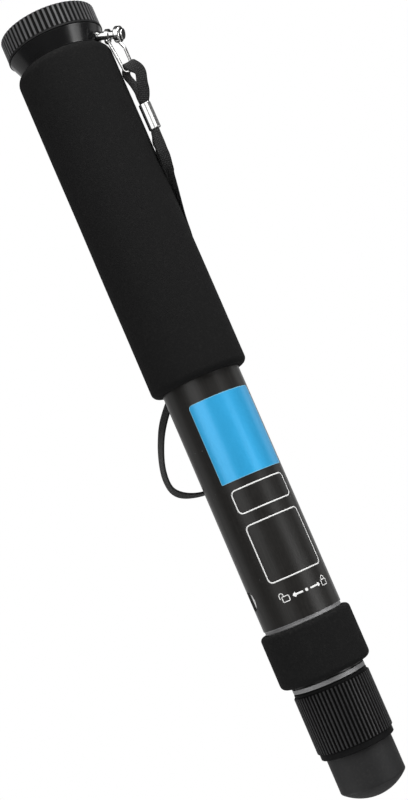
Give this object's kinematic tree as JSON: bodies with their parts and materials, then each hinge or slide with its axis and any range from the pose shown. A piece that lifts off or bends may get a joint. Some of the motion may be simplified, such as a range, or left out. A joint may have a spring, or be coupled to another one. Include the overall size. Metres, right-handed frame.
{
  "type": "camera monopod",
  "caption": "Collapsed twist-lock camera monopod with nested tubes, foam grip, ribbed camera wheel, wrist strap on a wire bail, and a domed rubber foot.",
  "frame": {"origin": "on the tubes' axis, at the root of the camera stud, level with the top of the pad", "axes": "+Z along the tubes towards the camera, -Y towards the viewer, strap post 72 degrees round from -Y towards +X"},
  "size_m": [0.0628, 0.051, 0.3745],
  "materials": {
    "stud_steel": "bright turned steel",
    "wheel_plastic": "matte charcoal nylon",
    "pad_rubber": "soft black rubber",
    "bush_brass": "turned brass",
    "neck_black": "satin black anodised",
    "bright_chrome": "polished",
    "strap_webbing": "woven nylon ribbon",
    "grip_foam": "matte closed cell foam",
    "tube_black": "satin black anodised",
    "label_blue": "metallic film",
    "ring_aluminium": "bead blasted",
    "inner_plastic": "moulded acetal",
    "knob_rubber": "ribbed rubber",
    "foot_rubber": "moulded rubber"
  },
  "bodies": {
    "root": {"camera_stud": "stud_steel", "neck": "neck_black", "neck_screws": "stud_steel", "strap_post": "bright_chrome", "foam_grip": "grip_foam", "section_1_tube": "tube_black", "colour_label": "label_blue", "lock_1_ferrule": "ring_aluminium", "lock_1_collet": "inner_plastic"},
    "wheel": {"platform_wheel": "wheel_plastic", "platform_pad": "pad_rubber", "wheel_bush": "bush_brass"},
    "strap": {"wire_bail": "bright_chrome", "strap_crimp": "bright_chrome", "strap_fold": "strap_webbing", "wrist_strap": "strap_webbing"},
    "collar_1": {"lock_1_nut": "wheel_plastic", "lock_1_band": "grip_foam"},
    "section_2": {"section_2_tube": "tube_black", "section_2_guide": "inner_plastic", "lock_2_ferrule": "ring_aluminium", "lock_2_collet": "inner_plastic"},
    "collar_2": {"lock_2_nut": "wheel_plastic", "lock_2_grip": "knob_rubber"},
    "section_3": {"section_3_tube": "tube_black", "section_3_guide": "inner_plastic", "section_3_end_bush": "inner_plastic"},
    "expander_4": {"section_4_expander": "inner_plastic"},
    "cone_4": {"section_4_cone": "inner_plastic"},
    "section_4": {"section_4_tube": "tube_black", "section_4_cam": "stud_steel", "section_4_end_bush": "inner_plastic"},
    "expander_5": {"section_5_expander": "inner_plastic"},
    "cone_5": {"section_5_cone": "inner_plastic"},
    "section_5": {"section_5_tube": "tube_black", "section_5_cam": "stud_steel", "section_5_end_bush": "inner_plastic"},
    "expander_6": {"section_6_expander": "inner_plastic"},
    "cone_6": {"section_6_cone": "inner_plastic"},
    "section_6": {"section_6_tube": "tube_black", "section_6_cam": "stud_steel", "foot_plug": "inner_plastic", "rubber_foot": "foot_rubber"}
  },
  "joints": [
    {"name": "wheel_spin", "type": "hinge", "parent": "root", "child": "wheel", "pos_m": [0, 0, -0.006], "axis": [0, 0, 1], "continuous": true},
    {"name": "bail_swing", "type": "hinge", "parent": "root", "child": "strap", "pos_m": [0.01903, -0.00618, -0.0165], "axis": [0.8716, -0.2832, -0.4002], "range_deg": [0, 80]},
    {"name": "collar_1_twist", "type": "hinge", "parent": "root", "child": "collar_1", "pos_m": [0, 0, -0.3016], "axis": [0, 0, -1], "range_deg": [0, 120]},
    {"name": "section_2_slide", "type": "slide", "parent": "root", "child": "section_2", "axis": [0, 0, -1], "range_m": [0, 0.2059]},
    {"name": "collar_2_twist", "type": "hinge", "parent": "section_2", "child": "collar_2", "pos_m": [0, 0, -0.332], "axis": [0, 0, -1], "range_deg": [0, 120]},
    {"name": "section_3_slide", "type": "slide", "parent": "section_2", "child": "section_3", "axis": [0, 0, -1], "range_m": [0, 0.2322]},
    {"name": "expander_4_slide", "type": "slide", "parent": "section_3", "child": "expander_4", "axis": [0, 0, -1], "range_m": [0, 0.2679]},
    {"name": "section_4_twist", "type": "hinge", "parent": "expander_4", "child": "section_4", "pos_m": [0, 0, -0.06], "axis": [0, 0, -1], "range_deg": [0, 180]},
    {"name": "expander_5_slide", "type": "slide", "parent": "section_4", "child": "expander_5", "axis": [0, 0, -1], "range_m": [0, 0.2321]},
    {"name": "section_5_twist", "type": "hinge", "parent": "expander_5", "child": "section_5", "pos_m": [0, 0, -0.1], "axis": [0, 0, -1], "range_deg": [0, 180]},
    {"name": "expander_6_slide", "type": "slide", "parent": "section_5", "child": "expander_6", "axis": [0, 0, -1], "range_m": [0, 0.1963]},
    {"name": "section_6_twist", "type": "hinge", "parent": "expander_6", "child": "section_6", "pos_m": [0, 0, -0.14], "axis": [0, 0, -1], "range_deg": [0, 180]},
    {"name": "cone_4_rise", "type": "slide", "parent": "expander_4", "child": "cone_4", "axis": [0, 0, 1], "range_m": [0, 0.0006]},
    {"name": "cone_5_rise", "type": "slide", "parent": "expander_5", "child": "cone_5", "axis": [0, 0, 1], "range_m": [0, 0.0006]},
    {"name": "cone_6_rise", "type": "slide", "parent": "expander_6", "child": "cone_6", "axis": [0, 0, 1], "range_m": [0, 0.0006]}
  ],
  "couplings": [
    {"joint": "cone_4_rise", "follows": "section_4_twist", "m_per_rad": 0.0001908},
    {"joint": "cone_5_rise", "follows": "section_5_twist", "m_per_rad": 0.0001908},
    {"joint": "cone_6_rise", "follows": "section_6_twist", "m_per_rad": 0.0001908}
  ]
}
